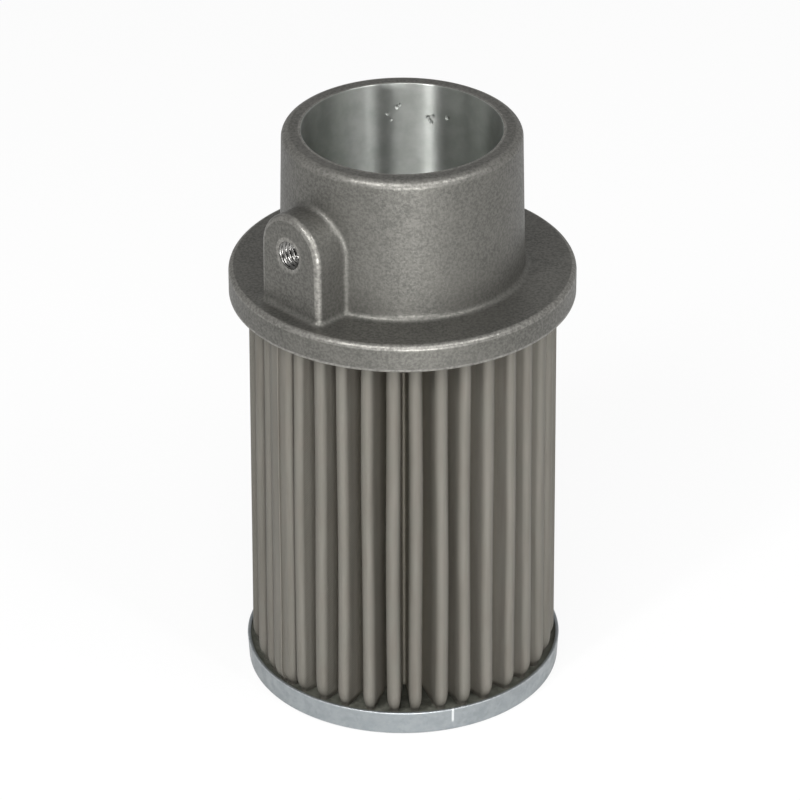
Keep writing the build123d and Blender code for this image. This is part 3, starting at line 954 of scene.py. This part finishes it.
# %% Build the cap
RIM_TOP, RIM_LOW, SHEET, RIM_HIGH, PAD_R, PAD_TOP = 39.45, 39.12, 0.8, 6.4, 22.4, 5.2
CAP_BEND = 0.85
lean = (RIM_TOP - RIM_LOW) / (RIM_HIGH - CAP_BEND)
section_of_cap = [
    *straight((0.01, PAD_TOP - SHEET), (PAD_R - SHEET - 1.2, PAD_TOP - SHEET), 2.5),
    *bend((PAD_R - SHEET - 1.2, PAD_TOP - SHEET - 1.2), 1.2, 90, 0, 6),
    *straight((PAD_R - SHEET, PAD_TOP - SHEET - 1.2), (PAD_R - SHEET, 0.9), 1.2),
    *bend((PAD_R - SHEET + 0.9, 0.9), 0.9, 180, 270, 6),
    *straight((PAD_R + 0.1, 0), (RIM_LOW - CAP_BEND, 0), 1.5),
    *bend((RIM_LOW - CAP_BEND, CAP_BEND), CAP_BEND, -90, 0, 9),
    *straight((RIM_LOW, CAP_BEND), (RIM_TOP - 0.02, RIM_HIGH - 0.22), 0.6),
    *bend((RIM_TOP - 0.22, RIM_HIGH - 0.22), 0.22, 0, 90, 4),
    *straight((RIM_TOP - 0.22, RIM_HIGH), (RIM_TOP - SHEET + 0.1, RIM_HIGH), 0.3),
    *straight((RIM_TOP - SHEET, RIM_HIGH - 0.1), (RIM_LOW - SHEET, SHEET + 0.5), 1.0),
    *straight((RIM_LOW - SHEET - 0.5, SHEET), (PAD_R + 0.5, SHEET), 3.0),
    *straight((PAD_R, SHEET + 0.5), (PAD_R, PAD_TOP - 0.8), 1.5),
    *bend((PAD_R - 0.8, PAD_TOP - 0.8), 0.8, 0, 90, 5),
    *straight((PAD_R - 0.8, PAD_TOP), (0.01, PAD_TOP), 2.5), (0.01, PAD_TOP)]
section_of_cap = np.array(section_of_cap)
round_about = np.radians(np.linspace(0, 360, 361))
cap = Skin()
cap.grid(polar(round_about[None, :], section_of_cap[:, 0, None], section_of_cap[:, 1, None]))
pressed_cap = cap.build("pressed_cap", [galvanised], sharp=50)
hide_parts("bottom_cap")
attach(pressed_cap, BODY)

# %% [markdown]
# ## The resin
# It was poured, crept up the pleats and the walls that it touched, and set like that. A flat ring would
# look like a washer, so each bed is a grid whose height swells towards its edges and ripples a little.

# %% Material: potting resin
resin, tree, shader = start_material("potting_resin")
here = add(tree, "ShaderNodeTexCoord").outputs["Object"]
mixed = ramp(tree, noise(tree, here, 2.4, 4.0, 0.6), 0.3, 0.7)
dust = ramp(tree, noise(tree, here, 0.5, 2.0, 0.7), 0.45, 0.75)
colour = blend(tree, mixed, (0.060, 0.062, 0.050, 1), (0.115, 0.118, 0.098, 1))
colour = blend(tree, maths(tree, "MULTIPLY", dust, 0.35), colour, (0.24, 0.235, 0.20, 1))
tree.links.new(colour, shader.inputs["Base Color"])
tree.links.new(ramp(tree, mixed, 0.0, 1.0, 0.36, 0.55), shader.inputs["Roughness"])
bumped(tree, shader, noise(tree, here, 1.1, 3.0, 0.5), 0.10, 0.6)
print("resin:", len(tree.nodes), "nodes")


# %% Build the two beds
def bed(name, outer, base, surface, creep, node_name):
    """A ring of resin from its base to a surface that swells at both edges, up or down."""
    inner, way = 23.4, 1 if surface > base else -1
    radii = np.concatenate([[inner, inner], inner + (outer - inner) * np.linspace(0, 1, 22), [outer, inner]])
    turn = np.radians(np.linspace(0, 360, 241))[None, :]
    wide = np.broadcast_to(radii[:, None], (len(radii), 241))
    edge_out = np.clip((wide - outer + 2.4) / 2.4, 0, 1) ** 2
    edge_in = np.clip((inner + 1.5 - wide) / 1.5, 0, 1) ** 2
    ripple = 0.07 * np.sin(turn * 36 + 1.0) + 0.05 * np.sin(turn * 11 + wide) + 0.04 * np.sin(turn * 23 - wide * 2)
    high = surface + way * (creep * edge_out + 0.6 * creep * edge_in + ripple)
    high[0], high[-2], high[-1] = base, base, base
    ring = Skin()
    ring.grid(polar(turn, wide, high))
    piece = ring.build(name, [resin], sharp=60)
    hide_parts(node_name)
    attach(piece, BODY)


bed("resin_in_cap", 38.6, 0.85, 4.85, 1.1, "lower_resin")
bed("resin_in_head", 39.18, 108.45, 104.75, 0.35, "upper_resin")

# %% [markdown]
# ## The core
# The CAD tube with its punched holes is right as it is, because it hardly shows: only from above, down
# through the bore. It keeps its shape and gets the finish of rolled steel sheet.

# %% Material: pierced steel
pierced, tree, shader = start_material("pierced_steel")
here = add(tree, "ShaderNodeTexCoord").outputs["Object"]
grain = place_group(tree, cast_grain, Grain=0.3, Pits=0.15)
drawn = add(tree, "ShaderNodeMapping", Vector=here, Scale=(1.0, 1.0, 0.05)).outputs[0]
lines = ramp(tree, noise(tree, drawn, 0.5, 3.0, 0.6), 0.3, 0.7)
colour = blend(tree, lines, (0.30, 0.305, 0.31, 1), (0.42, 0.425, 0.43, 1))
colour = blend(tree, maths(tree, "MULTIPLY", grain.outputs["Clouds"], 0.4), colour, (0.24, 0.235, 0.22, 1))
tree.links.new(colour, shader.inputs["Base Color"])
shader.inputs["Metallic"].default_value = 0.85
tree.links.new(ramp(tree, grain.outputs["Specks"], 0.0, 1.0, 0.48, 0.34), shader.inputs["Roughness"])
bumped(tree, shader, grain.outputs["Height"], 0.01, 0.5)
core = frame["nodes"]["core_tube"]
core.data.materials.clear()
core.data.materials.append(pierced)
print("pierced steel on", core.name)

# %% [markdown]
# ## The studio
# The floor is white paper. It shows white because the camera sees mostly its own colour, and only a
# share of its light and shadow, so the filter's soft shadow stays without any more light on the filter.

# %% Floor and surroundings
paper, tree, shader = start_material("white_paper")
here = add(tree, "ShaderNodeTexCoord").outputs["Object"]
fibre = ramp(tree, noise(tree, here, 1.5, 2.0, 0.5), 0.3, 0.7)
tree.links.new(blend(tree, fibre, (0.80, 0.80, 0.80, 1), (0.82, 0.82, 0.82, 1)), shader.inputs["Base Color"])
shader.inputs["Roughness"].default_value = 0.9
shader.inputs["Specular IOR Level"].default_value = 0.1
ray = add(tree, "ShaderNodeLightPath")
plain = add(tree, "ShaderNodeEmission", Color=(1, 1, 1, 1), Strength=1.0)
looked_at = maths(tree, "MAXIMUM", ray.outputs["Is Camera Ray"], ray.outputs["Is Transmission Ray"])
share = maths(tree, "MULTIPLY", looked_at, 0.88)
both = tree.nodes.new("ShaderNodeMixShader")
tree.links.new(share, both.inputs[0])
tree.links.new(shader.outputs[0], both.inputs[1])
tree.links.new(plain.outputs[0], both.inputs[2])
tree.links.new(both.outputs[0], tree.nodes["Material Output"].inputs["Surface"])
sheet = Skin()
spread = np.linspace(-2500, 2500, 21)
sheet.grid(np.stack(np.meshgrid(spread, spread, [-0.05], indexing="ij"), axis=-1)[:, :, 0, :])
floor = sheet.build("floor", [paper])

world = bpy.data.worlds.new("studio")
bpy.context.scene.world = world
world.use_nodes = True
tree = world.node_tree
sky = tree.nodes["Background"]
ray = add(tree, "ShaderNodeLightPath")
looked_at = maths(tree, "MAXIMUM", ray.outputs["Is Camera Ray"], ray.outputs["Is Transmission Ray"])
tree.links.new(ramp(tree, looked_at, 0.0, 1.0, 0.48, 1.0), sky.inputs["Strength"])
sky.inputs["Color"].default_value = (1.0, 1.0, 1.0, 1.0)
print("floor and surroundings ready")


# %% [markdown]
# Two wide soft boxes stand left and right of the camera, each with a brighter edge. Mirrored in the
# bore, they give its two upright bands, which rise slowly and end sharply. A fifth, low in front, fills
# the collar and the pleats.

# %% Lamps
def soft_box(name, azimuth, elevation, away, wide, tall, power):
    """An area lamp that faces the filter from this direction, in degrees from the camera's side."""
    a, e = math.radians(azimuth - 90), math.radians(elevation)
    middle = Vector((0.0, 0.0, 0.1))
    way = Vector((math.cos(a) * math.cos(e), math.sin(a) * math.cos(e), math.sin(e)))
    light = bpy.data.lights.new(name, "AREA")
    light.shape, light.size, light.size_y, light.energy = "RECTANGLE", wide, tall, power
    lamp = bpy.data.objects.new(name, light)
    lamp.visible_camera = False
    bpy.context.scene.collection.objects.link(lamp)
    lamp.location = middle + way * away
    lamp.rotation_mode = "QUATERNION"
    lamp.rotation_quaternion = (-way).to_track_quat("-Z", "Y")
    return lamp


soft_box("left_edge", -35, 44, 1.0, 0.07, 0.35, 3.4)
soft_box("left_fill", -13, 44, 1.0, 0.65, 0.35, 5.6)
soft_box("right_edge", 40, 44, 1.0, 0.07, 0.35, 1.6)
soft_box("right_fill", 55, 44, 1.0, 0.40, 0.35, 2.4)
soft_box("front_box", 8, 0, 1.4, 0.60, 0.20, 15.0)
print("five lamps")
